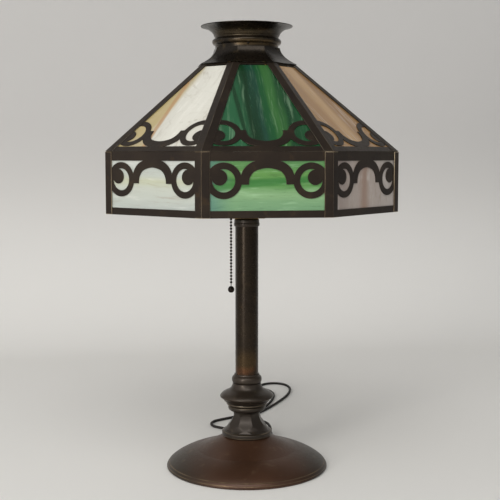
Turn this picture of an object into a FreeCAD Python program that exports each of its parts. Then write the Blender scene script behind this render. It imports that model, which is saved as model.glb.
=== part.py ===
"""Octagonal panel lamp: a turned column on a spun base, and a shade of slag glass behind
pierced metal overlays. Millimetres, +Z up, origin on the lamp's axis at the bottom of the
base. The shade's flat sides face -Y, +X, +Y and -X and the diagonals between.
"""
import FreeCAD, Part
import math
import os
import Sketcher

V = FreeCAD.Vector
UP = V(0, 0, 1)
SIDES = 8
STEP_DEG = 360.0 / SIDES
HALF_STEP = math.radians(STEP_DEG / 2)
BEYOND = 400.0      # longer than any piece that it passes through
HANDS = ((-1, "left"), (1, "right"))
SPIDER_TURNS = (-95.0, 25.0, 145.0)

doc = FreeCAD.newDocument("panel_lamp")

# ---------------------------------------------------------------- driving dimensions

DIMENSIONS = {
    # shade
    "skirt_low": 340.3, "skirt_high": 415.1, "skirt_apothem": 180.5,
    "slope_high": 525.2, "slope_top_apothem": 58.7, "seam": 0.6,
    "overlay_thick": 0.8, "overlay_side_gap": 0.45,
    "glass_thick": 3.0, "glass_gap": 0.25, "pane_side_inset": 1.2, "pane_end_inset": 2.2,
    "slope_pane_side_inset": 4.0, "slope_pane_end_inset": 5.0,
    "corner_width": 9.6, "hip_width_low": 10.2, "hip_width_high": 8.2,
    "strip_thick": 0.8, "hip_lift": 0.02, "stile_width": 7.7,
    "lower_rail": 8.4, "upper_rail": 10.5, "crown_rail": 3.4,
    "skirt_scroll_up": 42.2, "skirt_scroll_aside": 49.8, "skirt_scroll_outer": 20.5,
    "skirt_scroll_inner": 13.0, "skirt_disc_aside": 4.8, "skirt_disc_along": 3.6,
    "slope_scroll_up": 31.6, "slope_scroll_aside": 48.6, "slope_scroll_outer": 21.8,
    "slope_scroll_inner": 14.6, "slope_disc_aside": 6.0, "slope_disc_along": 4.5,
    "disc_radius": 8.8,
    "clip_width": 7.0, "clip_tab": 9.0, "clip_thick": 0.5, "clip_aside": 44.0,
    # crown and spider
    "crown_inner": 39.2, "crown_thick": 1.0,
    "spider_low": 548.0, "spider_thick": 1.6, "spider_arm": 8.0, "spider_hub": 10.5,
    "spider_hole": 3.5, "spider_tab": 7.0, "spider_gap": 0.3, "rivet_height": 2.6,
    # column and base fittings
    "pipe_radius": 5.14, "pipe_bore": 3.6, "pipe_low": 13.0, "pipe_high": 341.0,
    "nut_flats": 17.0, "nut_low": 14.6, "nut_high": 18.8,
    "facet_turn": -12.0, "facet_scale": 0.957,
    "cord_exit_height": 6.5, "cord_hole": 4.7,
    # harp, guide and pull chain
    "harp_foot_x": 22.0, "harp_wire_radius": 1.6, "harp_top": 546.0,
    "saddle_low": 329.0, "saddle_thick": 1.8, "saddle_width": 15.0, "saddle_top": 345.0,
    "saddle_tab": 3.6, "saddle_clearance": 0.3,
    "guide_height": 371.6, "guide_arm": 3.0, "guide_flange": 5.4, "guide_seat": 17.05,
    "chain_x": -23.6, "chain_y": -25.1, "chain_ball": 1.6, "chain_pitch": 4.05,
    "chain_wire": 0.45, "chain_pivot": 358.0, "chain_end": 243.8,
    # cord and plug
    "cord_radius": 2.0, "lead_radius": 1.9, "coil_x": 29.0, "coil_y": 130.0,
    "plug_x": 8.0, "plug_tail": 141.0, "plug_length": 30.0, "plug_width": 20.0,
    "plug_height": 12.0, "plug_floor": 12.0,
    "blade_length": 16.0, "blade_tall": 6.4, "blade_thick": 1.5, "blade_apart": 12.7,
    "blade_hole": 1.5, "blade_hole_reach": 11.5,
}

sheet = doc.addObject("Spreadsheet::Sheet", "dims")
next_row = [1]


def store(alias, value):
    """Put one named number in the sheet, with its name beside it."""
    row = next_row[0]
    sheet.set("A%d" % row, alias)
    sheet.set("B%d" % row, repr(round(float(value), 4)))
    sheet.setAlias("B%d" % row, alias)
    next_row[0] = row + 1


for alias, value in DIMENSIONS.items():
    store(alias, value)
doc.recompute()


def dim(alias):
    """A driving dimension, read back from the sheet."""
    return float(sheet.get(alias))


# ---------------------------------------------------------------- helpers

nodes = {}


def keep(name, obj):
    """Register an object as a sub-part under the name of its node."""
    obj.Label = name
    nodes[name] = obj
    return obj


def bind(obj, **expressions):
    """Drive an object's properties from sheet cells: words starting with $ are aliases."""
    for prop, text in expressions.items():
        obj.setExpression(prop.replace("__", "."), text.replace("$", "dims."))
    return obj


def origin_plane(body, role):
    return [item for item in body.Origin.OriginFeatures if item.Role == role][0]


def profile_sketch(body, name, outline):
    """Closed sketch on the body's XZ plane, one row per corner: (word, r, z[, bend]).

    bend is the radius of the arc that arrives at the corner: positive turns left along
    the outline, negative turns right, and none means a straight line. Every coordinate
    and radius is a cell of the sheet, so the outline is fully driven by it.
    """
    sketch = body.newObject("Sketcher::SketchObject", name + "_outline")
    sketch.AttachmentSupport = [(origin_plane(body, "XZ_Plane"), "")]
    sketch.MapMode = "FlatFace"
    corners = [V(row[1], row[2], 0) for row in outline]
    ends = []
    for index, row in enumerate(outline):
        start, end = corners[index - 1], corners[index]
        bend = row[3] if len(row) > 3 else 0
        if not bend:
            sketch.addGeometry(Part.LineSegment(start, end), False)
            ends.append((1, 2))
            continue
        chord = end - start
        rise = math.sqrt(max(bend * bend - chord.Length ** 2 / 4, 0.0))
        side = V(-chord.y, chord.x, 0).normalize() * math.copysign(1, bend)
        centre = (start + end) * 0.5 + side * rise
        first, last = (start, end) if bend > 0 else (end, start)
        circle = Part.Circle(centre, UP, abs(bend))
        sweep = [math.atan2(p.y - centre.y, p.x - centre.x) for p in (first, last)]
        sketch.addGeometry(Part.ArcOfCircle(circle, sweep[0], sweep[1]), False)
        ends.append((1, 2) if bend > 0 else (2, 1))
    for index, row in enumerate(outline):
        after = (index + 1) % len(outline)
        sketch.addConstraint(Sketcher.Constraint(
            "Coincident", index, ends[index][1], after, ends[after][0]))
        cell = "%s_%s" % (name, row[0])
        for axis, label, value in (("DistanceX", "_r", row[1]), ("DistanceY", "_z", row[2])):
            store(cell + label, value)
            number = sketch.addConstraint(Sketcher.Constraint(
                axis, -1, 1, index, ends[index][1], float(value)))
            sketch.setExpression("Constraints[%d]" % number, "dims." + cell + label)
        if len(row) > 3:
            store(cell + "_bend", abs(row[3]))
            number = sketch.addConstraint(Sketcher.Constraint("Radius", index, abs(row[3])))
            sketch.setExpression("Constraints[%d]" % number, "dims." + cell + "_bend")
    return sketch


def turned(name, outline, node=True):
    """A body of revolution about the lamp's axis, or about its own axis once placed."""
    body = doc.addObject("PartDesign::Body", name)
    sketch = profile_sketch(body, name, outline)
    spin = body.newObject("PartDesign::Revolution", name + "_turn")
    spin.Profile = sketch
    spin.ReferenceAxis = (sketch, ["V_Axis"])
    spin.Angle = 360
    body.Tip = spin
    return keep(name, body) if node else body


def primitive(kind, name, **expressions):
    return bind(doc.addObject("Part::" + kind, name), **expressions)


def spot(x, y, z, turn=0.0):
    """Placement expressions of a point x, y, z carried round the lamp's axis by turn degrees."""
    if not turn:
        return {"Placement__Base__x": x, "Placement__Base__y": y, "Placement__Base__z": z}
    swing = {"x": x, "y": y, "turn": turn}
    return {"Placement__Base__x": "(%(x)s) * cos(%(turn)g deg) - (%(y)s) * sin(%(turn)g deg)" % swing,
            "Placement__Base__y": "(%(x)s) * sin(%(turn)g deg) + (%(y)s) * cos(%(turn)g deg)" % swing,
            "Placement__Base__z": z}


def box(name, length, width, height, x, y, z, turn=0.0):
    """A box from expressions: its sides, its low corner, and its turn about the lamp's axis."""
    solid = primitive("Box", name, Length=length, Width=width, Height=height,
                      **spot(x, y, z, turn))
    solid.Placement.Rotation = FreeCAD.Rotation(UP, turn)
    return solid


def drum(name, radius, height, x, y, z, axis=UP):
    """A cylinder from expressions, standing on x, y, z along an axis."""
    solid = primitive("Cylinder", name, Radius=radius, Height=height, **spot(x, y, z))
    solid.Placement.Rotation = FreeCAD.Rotation(UP, axis)
    return solid


def fuse(name, parts):
    joined = doc.addObject("Part::MultiFuse", name)
    joined.Shapes = parts
    return joined


def cut(name, base, tool):
    result = doc.addObject("Part::Cut", name)
    result.Base = base
    result.Tool = tool
    return result


def shaped(name, shape):
    """A sub-part whose shape comes straight from Part's own functions."""
    feature = doc.addObject("Part::Feature", name)
    feature.Shape = shape
    return keep(name, feature)


def around(shape, turn_deg):
    copy = shape.copy()
    copy.rotate(V(0, 0, 0), UP, turn_deg)
    return copy


def ring_of(name, shape):
    """One piece per side of the octagon, as separate solids in one node."""
    copies = [around(shape, side * STEP_DEG) for side in range(SIDES)]
    return shaped(name, Part.makeCompound(copies))


def prism_ring(slab):
    """The part of a slab across the lamp that all its turns by one side share."""
    solid = slab
    for quarter in range(1, SIDES // 2):
        solid = solid.common(around(slab, quarter * STEP_DEG))
    return solid


def cross_slab(half_outline):
    """Slab along Y whose section is a smooth half outline of (x, z), mirrored, and closed."""
    right = [V(x, 0, z) for x, z in half_outline]
    left = [V(-point.x, 0, point.z) for point in reversed(right)]
    sides = []
    for points in (right, left):
        curve = Part.BSplineCurve()
        curve.interpolate(points)
        sides.append(curve.toShape())
    wire = Part.Wire([sides[0], Part.makeLine(right[-1], left[0]),
                      sides[1], Part.makeLine(left[-1], right[0])])
    slab = Part.Face(wire).extrude(V(0, BEYOND, 0))
    slab.translate(V(0, -BEYOND / 2, 0))
    return slab


# ---------------------------------------------------------------- base and column

def build_base():
    """Spun dome with a rolled rim, its iron weight, felt ring and the pipe's fastenings."""
    turned("spun_foot", [
        ("hole", 5.6, 39.8), ("seat", 5.6, 41.4), ("shoulder", 31.0, 41.4),
        ("cove", 66.0, 24.6, 190.0), ("crest", 97.0, 11.9, -96.0),
        ("ridge", 102.6, 7.3, -34.0), ("step", 103.4, 6.9), ("band", 105.2, 4.0, -14.0),
        ("roll", 105.2, 0.6, -2.1), ("stand", 104.2, 0.0, -1.4), ("hem", 103.0, 0.0),
        ("inner_band", 102.4, 4.6), ("inner_crest", 96.0, 10.5, 60.0),
        ("inner_cove", 65.4, 23.0, 94.0), ("inner_top", 30.4, 39.8, -191.6)], node=False)
    hole = drum("cord_hole_tool", "$cord_hole", "20", "0", "90", "$cord_exit_height", V(0, 1, 0))
    keep("base_foot", cut("foot_with_hole", doc.spun_foot, hole))
    turned("weight_casting", [
        ("recess", 15.0, 1.6), ("edge_low", 92.0, 1.6), ("edge_high", 92.0, 9.0),
        ("slope", 60.0, 17.0), ("fillet", 29.0, 21.0), ("hub", 22.0, 28.0, -9.0),
        ("hub_top", 22.0, 39.6), ("bore_top", 5.5, 39.6), ("bore_low", 5.5, 20.0),
        ("pocket", 15.0, 20.0)], node=False)
    channel = box("cord_channel", "$cord_radius * 4", "100", "$cord_exit_height + 1.9",
                  "-$cord_radius * 2", "8", "1")
    keep("base_weight", cut("weight_with_channel", doc.weight_casting, channel))
    turned("base_felt", [("in_low", 18.0, 0.0), ("out_low", 100.5, 0.0),
                         ("out_high", 100.5, 1.4), ("in_high", 18.0, 1.4)])
    turned("base_washer", [("in_low", 5.5, 18.9), ("out_low", 13.5, 18.9),
                           ("out_high", 13.5, 19.9), ("in_high", 5.5, 19.9)])
    hexagon = primitive("Prism", "nut_hexagon", Circumradius="$nut_flats / 2 / cos(30 deg)",
                        Height="$nut_high - $nut_low", Placement__Base__z="$nut_low")
    hexagon.Polygon = 6
    bore = drum("nut_bore", "$pipe_radius + 0.1", "$nut_high + 1", "0", "0", "0")
    keep("base_locknut", cut("locknut", hexagon, bore))


def build_column():
    """Pipe, bell-shaped pedestal with eight facets, knop, collars and column tube."""
    outer = drum("pipe_outer", "$pipe_radius", "$pipe_high - $pipe_low", "0", "0", "$pipe_low")
    bore = drum("pipe_hole", "$pipe_bore", "$pipe_high + 1", "0", "0", "0")
    keep("lamp_pipe", cut("pipe", outer, bore))

    turned("bell_round", [
        ("hole", 5.6, 41.5), ("foot", 30.6, 41.5), ("foot_edge", 32.8, 43.0, 2.2),
        ("band", 33.0, 46.2), ("bead", 31.8, 48.2, 1.7), ("quirk", 30.9, 48.6),
        ("bell", 24.4, 56.6, -17.0), ("waist", 17.5, 69.5, 26.0), ("neck", 18.6, 73.6, -14.0),
        ("top", 5.6, 73.6)], node=False)
    doc.recompute()
    scale = dim("facet_scale")
    flats = [(30.0, 49.2), (24.4, 56.6), (19.6, 63.0), (17.7, 69.5), (18.6, 73.7)]
    facets = around(prism_ring(cross_slab([(r * scale, z) for r, z in flats])),
                    dim("facet_turn"))
    foot_zone = Part.makeCylinder(BEYOND, flats[0][1])
    bell = doc.bell_round.Shape
    shaped("pedestal", bell.common(facets).fuse(bell.common(foot_zone)).removeSplitter())

    turned("knop", [
        ("hole", 5.6, 73.8), ("seat", 18.8, 73.8), ("cove", 22.6, 75.6, 6.5),
        ("ring", 24.7, 78.4, 3.4), ("ring_top", 24.3, 81.2, 3.2), ("groove", 23.4, 82.0),
        ("bead_low", 25.4, 82.6), ("bead_top", 26.9, 84.6, 1.8), ("quirk", 26.6, 85.6),
        ("bowl", 30.4, 88.8, 12.0), ("tip_low", 34.7, 92.8, -9.0),
        ("tip", 34.8, 95.6, 2.0), ("shoulder", 30.6, 99.4, 12.0),
        ("flare", 24.6, 102.4), ("neck", 19.8, 107.4, -9.5), ("collar_seat", 18.6, 111.4, -12.0),
        ("top", 5.6, 111.4)])
    turned("column_lower_collar", [
        ("in_low", 15.4, 111.6), ("low", 17.9, 111.6), ("belly", 19.7, 116.4, 6.4),
        ("shoulder", 17.6, 121.4, 5.6), ("quirk", 16.7, 121.8), ("lip", 16.1, 124.0, 2.6),
        ("in_high", 15.4, 124.0)])
    turned("column_tube", [
        ("in_low", 13.9, 111.8), ("out_low", 15.1, 111.8),
        ("out_high", 15.1, 327.6), ("in_high", 13.9, 327.6)])
    turned("column_top_collar", [
        ("in_low", 15.4, 318.9), ("lip", 16.1, 318.9), ("bead_low", 16.6, 320.4, 1.5),
        ("bead", 16.4, 323.6, 4.4), ("wall", 16.3, 327.0), ("shoulder", 13.4, 328.9, 3.2),
        ("top", 5.5, 328.9), ("under", 5.5, 327.7), ("seat", 15.4, 327.7)])


# ---------------------------------------------------------------- socket, bulb and harp

def build_socket():
    """Pull-chain lamp socket: cap, shell, card liner, switch interior and bulb."""
    turned("socket_cap", [
        ("in_low", 5.5, 331.0), ("neck", 8.6, 331.0), ("neck_top", 8.6, 336.0),
        ("dome", 18.1, 347.2, 13.0), ("lip", 18.2, 351.0), ("in_lip", 17.2, 351.0),
        ("in_dome", 17.2, 348.0), ("in_top", 5.5, 342.6, -14.0)])
    turned("socket_shell", [
        ("in_low", 16.4, 349.0), ("out_low", 17.0, 349.0), ("out", 17.0, 386.0),
        ("bead", 18.6, 388.0, 2.2), ("rim", 17.8, 390.4, 1.8), ("in_rim", 17.0, 390.2),
        ("in_high", 16.4, 386.6)])
    turned("socket_insulator", [
        ("in_low", 15.6, 349.5), ("out_low", 16.2, 349.5),
        ("out_high", 16.2, 386.0), ("in_high", 15.6, 386.0)])
    turned("socket_interior", [
        ("bore_low", 4.0, 351.5), ("low", 14.6, 351.5), ("block", 14.6, 366.0),
        ("shell", 14.4, 366.0), ("shell_top", 14.4, 387.5), ("in_top", 13.7, 387.5),
        ("in_floor", 13.7, 366.6), ("contact", 4.0, 366.6)])
    turned("bulb_base", [
        ("tip", 0.0, 367.2), ("contact", 3.2, 367.8), ("insulator", 8.0, 370.4),
        ("thread_low", 12.6, 373.4), ("thread_high", 13.1, 392.0),
        ("cup", 13.9, 396.4), ("cup_top", 12.6, 397.0), ("axis", 0.0, 397.0)])
    turned("bulb_glass", [
        ("axis_low", 0.0, 397.2), ("neck", 13.0, 397.2), ("throat", 17.4, 412.0, -60.0),
        ("belly", 30.0, 441.0, -52.0), ("crown", 0.0, 471.0, 30.0)])


def build_guide():
    """Side arm on the socket, with the flared mouth that the pull chain hangs from."""
    x, y, seat = dim("chain_x"), dim("chain_y"), dim("guide_seat")
    mouth_wall = 3.0
    mouth = turned("guide_mouth", [
        ("flare_in", 3.2, 356.6), ("flare", 5.0, 356.6), ("throat", 4.0, 359.4, -4.0),
        ("top", 4.0, 376.0), ("crown", 0.0, 378.0, 5.0), ("roof", 0.0, 376.4),
        ("in_top", 2.5, 376.4), ("in_throat", 2.5, 359.4)], node=False)
    mouth.Placement.Base = V(x, y, 0)
    doc.recompute()
    start, along = V(seat, 0, dim("guide_height")), V(1, 0, 0)
    arm = Part.makeCylinder(dim("guide_arm"), math.hypot(x, y) - mouth_wall - seat, start, along)
    flange = Part.makeCylinder(dim("guide_flange"), 1.4, start, along)
    stem = around(arm.fuse(flange), math.degrees(math.atan2(y, x)))
    shaped("pull_chain_guide", stem.fuse(mouth.Shape))


def bent_path(points, largest=BEYOND * 5):
    """Straight runs joined by tangent arcs, each as large as its two runs allow."""
    edges = []
    start = points[0]
    sizes = []
    for before, corner, after in zip(points, points[1:], points[2:]):
        into, out = corner - before, after - corner
        half_turn = into.getAngle(out) / 2
        radius = min(0.45 * min(into.Length, out.Length) / math.tan(half_turn), largest)
        sizes.append(radius)
        setback = radius * math.tan(half_turn)
        into.normalize()
        out.normalize()
        enter = corner - into * setback
        leave = corner + out * setback
        bisector = (out - into).normalize()
        middle = corner + bisector * (radius / math.cos(half_turn) - radius)
        edges.append(Part.LineSegment(start, enter).toShape())
        edges.append(Part.Arc(enter, middle, leave).toShape())
        start = leave
    edges.append(Part.LineSegment(start, points[-1]).toShape())
    return Part.Wire(edges), sizes


def swept(points, radius, name=None, largest=BEYOND * 5):
    """A round bar along a bent path, with its volume compared to section times length."""
    path, sizes = bent_path(points, largest)
    section = Part.Wire([Part.Circle(points[0], points[1] - points[0], radius).toShape()])
    bar = path.makePipeShell([section], True, False)
    ratio = bar.Volume / (math.pi * radius ** 2 * path.Length)
    if abs(ratio - 1) > 0.02:
        raise RuntimeError("a swept bar has lost its section")
    if name:
        print("%s: length %.1f, volume ratio %.4f, radii %s" % (
            name, path.Length, ratio, " ".join("%.0f" % size for size in sizes)))
    return bar


def build_harp():
    """Saddle clamped on the pipe, bent wire harp, its two locking ferrules and finial."""
    strap = box("saddle_strap", "$harp_foot_x * 2 + $saddle_thick", "$saddle_width",
                "$saddle_thick", "-$harp_foot_x - $saddle_thick / 2", "-$saddle_width / 2",
                "$saddle_low")
    hole = drum("saddle_hole", "$pipe_radius + $saddle_clearance", "$saddle_thick * 3",
                "0", "0", "$saddle_low - $saddle_thick")
    tabs = [box("saddle_tab_" + label, "$saddle_thick", "$saddle_tab",
                "$saddle_top - $saddle_low", "%d * $harp_foot_x - $saddle_thick / 2" % side,
                "-$saddle_tab / 2", "$saddle_low") for side, label in HANDS]
    keep("harp_saddle", fuse("saddle", [cut("strap_drilled", strap, hole)] + tabs))

    foot = dim("harp_foot_x")
    top = dim("harp_top")
    half = [V(foot, 0, dim("saddle_top") + 0.2), V(foot, 0, 377), V(50, 0, 404),
            V(57, 0, 440), V(50, 0, 492), V(26, 0, 526), V(14, 0, top - 1.6),
            V(4.0, 0, top - 1.4)]
    mirrored = [V(-p.x, 0, p.z) for p in half]
    radius = dim("harp_wire_radius")
    pad = Part.makeCylinder(6.0, 3.4, V(0, 0, top - 1.6))
    stud = Part.makeCylinder(3.1, 14.5, V(0, 0, top + 1.5))
    wire = swept(half, radius).fuse([swept(mirrored, radius), pad, stud])
    shaped("harp_wire", wire)

    for side, label in HANDS:
        ferrule = turned("harp_ferrule_" + label, [
            ("in_low", 2.5, 341.0), ("out_low", 3.6, 341.0), ("out", 3.6, 350.0),
            ("taper", 2.9, 353.4), ("in_high", 2.5, 353.4)])
        ferrule.Placement.Base = V(side * foot, 0, 0)

    turned("finial", [
        ("bore_low", 3.2, 550.2), ("flange", 8.0, 550.2), ("flange_top", 8.0, 552.2, 1.1),
        ("neck", 4.6, 554.4, -2.8), ("belly", 8.2, 560.8, 5.6), ("crown", 0.0, 569.0, 8.2),
        ("roof", 0.0, 563.0), ("bore_top", 3.2, 563.0)])


def build_pull_chain():
    """Sliding lead inside the guide, and the ball chain with its bell that hangs from it."""
    def strand(name, first, last, low, high):
        """Balls number first to last, counted up from the pivot, on one fine wire."""
        places = ["$chain_pivot + $chain_pitch * (%d)" % count for count in range(first, last + 1)]
        balls = [primitive("Sphere", "%s_ball_%d" % (name, index), Radius="$chain_ball",
                           **spot("$chain_x", "$chain_y", place))
                 for index, place in enumerate(places)]
        wire = drum(name + "_wire", "$chain_wire", "(%s) - (%s)" % (high, low),
                    "$chain_x", "$chain_y", low)
        keep(name, fuse(name + "_strand", balls + [wire]))

    strand("pull_lead", 1, 2, "$chain_pivot + $chain_pitch - $chain_ball - 0.4",
           "$chain_pivot + $chain_pitch * 2")
    count = int((dim("chain_pivot") - dim("chain_end")) / dim("chain_pitch"))
    strand("pull_chain", 1 - count, 0, "$chain_end", "$chain_pivot")
    bell = turned("chain_bell", [
        ("axis_top", 0.0, 243.6), ("crown", 1.5, 243.6), ("shoulder", 2.7, 241.4, -3.4),
        ("flare", 3.4, 237.6, -9.0), ("lip", 4.1, 236.2, -2.4), ("edge", 3.9, 235.4, -0.6),
        ("axis_low", 0.0, 235.4)])
    bell.Placement.Base = V(dim("chain_x"), dim("chain_y"), 0)


# ---------------------------------------------------------------- shade metalwork

def octagon(apothem, z):
    """Closed octagonal wire with flats facing the axes, at a height."""
    corner = apothem / math.cos(HALF_STEP)
    points = []
    for index in range(SIDES + 1):
        angle = HALF_STEP + index * 2 * HALF_STEP
        points.append(V(corner * math.cos(angle), corner * math.sin(angle), z))
    return Part.makePolygon(points)


def frustum(low_apothem, low_z, high_apothem, high_z):
    return Part.makeLoft([octagon(low_apothem, low_z), octagon(high_apothem, high_z)],
                         True, True)


def corner_bands(half_inner, inner_radius, half_outer, outer_radius, low_z, high_z):
    """Radial wedges over the eight corners, which trim a shell down to corner strips."""
    plan = [V(inner_radius, -half_inner, low_z), V(outer_radius, -half_outer, low_z),
            V(outer_radius, half_outer, low_z), V(inner_radius, half_inner, low_z)]
    wedge = Part.Face(Part.makePolygon(plan + plan[:1])).extrude(V(0, 0, high_z - low_z))
    return [around(wedge, STEP_DEG / 2 + side * STEP_DEG) for side in range(SIDES)]


def build_crown():
    """Flared vent collar: round neck with a bead, and an eight-sided skirt below."""
    turned("crown_neck", [
        ("in_low", 39.2, 546.6), ("low", 40.2, 546.6), ("bead_low", 40.6, 550.6),
        ("bead", 44.3, 555.0, 4.6), ("bead_high", 41.9, 558.6, 3.3), ("neck", 41.9, 562.4, -2.4),
        ("flare", 47.0, 569.6, -12.0), ("lip", 58.4, 574.2, -22.0), ("rim", 58.8, 575.2, 0.65),
        ("rim_in", 57.6, 575.0, 0.9), ("in_flare", 46.0, 570.4, 22.0),
        ("in_neck", 40.9, 562.4, 12.0), ("in_bead", 40.9, 558.8),
        ("in_bead_low", 39.6, 551.0, -6.0)], node=False)
    doc.recompute()
    flare = [(61.0, 525.6), (52.6, 530.4), (46.4, 535.4), (42.2, 541.0), (40.2, 546.8)]
    outside = prism_ring(cross_slab(flare))
    inside = prism_ring(cross_slab([(x - dim("crown_thick"), z) for x, z in flare]))
    shell = outside.cut(inside).cut(Part.makeCylinder(dim("crown_inner"), BEYOND * 2))
    shaped("crown", shell.fuse(doc.crown_neck.Shape).removeSplitter())


def build_spider():
    """Three-armed spider riveted inside the crown's neck."""
    reach = "$crown_inner - $spider_gap"
    pieces = [drum("spider_hub_plate", "$spider_hub", "$spider_thick", "0", "0", "$spider_low")]
    for index, turn in enumerate(SPIDER_TURNS):
        pieces.append(box("spider_arm_%d" % index, reach, "$spider_arm", "$spider_thick",
                          "0", "-$spider_arm / 2", "$spider_low", turn))
        pieces.append(box("spider_tab_%d" % index, "$spider_thick", "$spider_arm", "$spider_tab",
                          reach + " - $spider_thick", "-$spider_arm / 2", "$spider_low - 1", turn))
    trimmed = doc.addObject("Part::Common", "spider_trimmed")
    trimmed.Base = fuse("spider_arms", pieces)
    trimmed.Tool = drum("spider_limit", reach, "20", "0", "0", "$spider_low - 5")
    hole = drum("spider_hole_tool", "$spider_hole", "20", "0", "0", "$spider_low - 5")
    keep("spider", cut("spider_drilled", trimmed, hole))

    height = dim("spider_low") + dim("rivet_height")
    inner, outer = dim("crown_inner") - 2.8, dim("crown_inner") + 1.3
    head = Part.makeSphere(1.7, V(outer + 0.2, 0, height)).cut(
        Part.makeCylinder(4, 4, V(outer, 0, height), V(-1, 0, 0)))
    shank = Part.makeCylinder(1.0, outer - inner, V(inner, 0, height), V(1, 0, 0))
    tail = Part.makeCylinder(1.8, 0.8, V(inner, 0, height), V(1, 0, 0))
    rivet = head.fuse([shank, tail])
    shaped("spider_rivets", Part.makeCompound([around(rivet, turn) for turn in SPIDER_TURNS]))


# Half outlines of the overlay's arch, from leg to crown: distance aside of the panel's
# middle, and distance past the scrolls' centres.
ARCH_INNER = [(21.3, -1.3), (19.8, 4.5), (15.1, 10.3), (9.0, 12.8), (0.0, 14.3)]
ARCH_OUTER = [(30.2, -1.0), (30.2, 6.6), (25.8, 15.0), (17.8, 20.9), (0.0, 23.4)]
ARCH_FOOT = 4.3     # how far the arch's legs run on past the scrolls' centres


def pierced_overlay(place, width_low, width_high, height, rail_low, rail_high, upside):
    """Flat pierced sheet in the XZ plane, front face at y = 0, bottom edge at z = 0.

    Two pierced scrolls flank a square-shouldered arch that springs from the rail on the
    arch's closed side: the top rail normally, the bottom rail when upside is -1. place is
    the word that the scrolls' own dimensions start with.
    """
    thick = dim("overlay_thick")
    scroll_up, aside = dim(place + "_scroll_up"), dim(place + "_scroll_aside")
    outer, inner = dim(place + "_scroll_outer"), dim(place + "_scroll_inner")

    def plate(points):
        face = Part.Face(Part.makePolygon([V(u, 0, w) for u, w in points + points[:1]]))
        return face.extrude(V(0, thick, 0))

    def disc(u, w, radius):
        return Part.makeCylinder(radius, thick, V(u, 0, w), V(0, 1, 0))

    def edge_at(w):
        return (width_low + (width_high - width_low) * w / height) / 2

    def band(low, high):
        return plate([(-edge_at(low), low), (edge_at(low), low),
                      (edge_at(high), high), (-edge_at(high), high)])

    def arch(haunches, foot):
        """Solid under an arch: straight legs, round shoulders and a nearly flat crown."""
        right = [V(u, 0, scroll_up + upside * rise) for u, rise in haunches]
        left = [V(-point.x, 0, point.z) for point in reversed(right[:-1])]
        bend = Part.BSplineCurve()
        bend.interpolate(right + left)
        feet = [V(left[-1].x, 0, foot), V(right[0].x, 0, foot)]
        wire = Part.Wire([Part.makeLine(feet[1], right[0]), bend.toShape(),
                          Part.makeLine(left[-1], feet[0]), Part.makeLine(*feet)])
        return Part.Face(wire).extrude(V(0, thick, 0))

    stile = dim("stile_width")
    frame = [band(0, rail_low), band(height - rail_high, height)]
    for sign in (-1, 1):
        frame.append(plate([(sign * edge_at(0), 0), (sign * (edge_at(0) - stile), 0),
                            (sign * (edge_at(height) - stile), height),
                            (sign * edge_at(height), height)]))
    rings = [disc(sign * aside, scroll_up, outer) for sign in (-1, 1)]
    bridge = arch(ARCH_OUTER, scroll_up - upside * ARCH_FOOT)
    metal = frame[0].fuse(frame[1:] + rings + [bridge])
    window = arch(ARCH_INNER, scroll_up - upside * ARCH_FOOT * 2)
    metal = metal.cut([window] + [disc(sign * aside, scroll_up, inner) for sign in (-1, 1)])
    scrolls = [disc(sign * (aside + dim(place + "_disc_aside")),
                    scroll_up + upside * dim(place + "_disc_along"),
                    dim("disc_radius")) for sign in (-1, 1)]
    return metal.fuse(scrolls).common(band(0, height)).removeSplitter()


def build_skirt():
    """Eight upright sides: pierced overlays, glass behind them and corner angles."""
    apothem, low = dim("skirt_apothem"), dim("skirt_low")
    height = dim("skirt_high") - low
    width = 2 * (apothem * math.tan(HALF_STEP) - dim("overlay_side_gap"))
    overlay = pierced_overlay("skirt", width, width, height,
                              dim("lower_rail"), dim("upper_rail"), 1)
    overlay.translate(V(0, -apothem, low))
    ring_of("lower_filigree", overlay)

    front = "$skirt_apothem - $overlay_thick - $glass_gap"
    half = "(%s - $glass_thick) * tan(%g deg) - $pane_side_inset" % (front, STEP_DEG / 2)
    for side in range(SIDES):
        name = "lower_glass_%d" % (side + 1)
        keep(name, box(name, "2 * (%s)" % half, "$glass_thick",
                       "$skirt_high - $skirt_low - 2 * $pane_end_inset",
                       "-(%s)" % half, "-(%s)" % front, "$skirt_low + $pane_end_inset",
                       side * STEP_DEG))

    cover = apothem + dim("strip_thick")
    shell = frustum(cover, low, cover, low + height)
    shell = shell.cut(frustum(apothem, low, apothem, low + height))
    spread = dim("corner_width") * math.cos(HALF_STEP)
    bands = corner_bands(spread, apothem * 0.8, spread, apothem * 1.2, low, low + height)
    shaped("corner_strips", Part.makeCompound([shell.common(wedge) for wedge in bands]))


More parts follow.
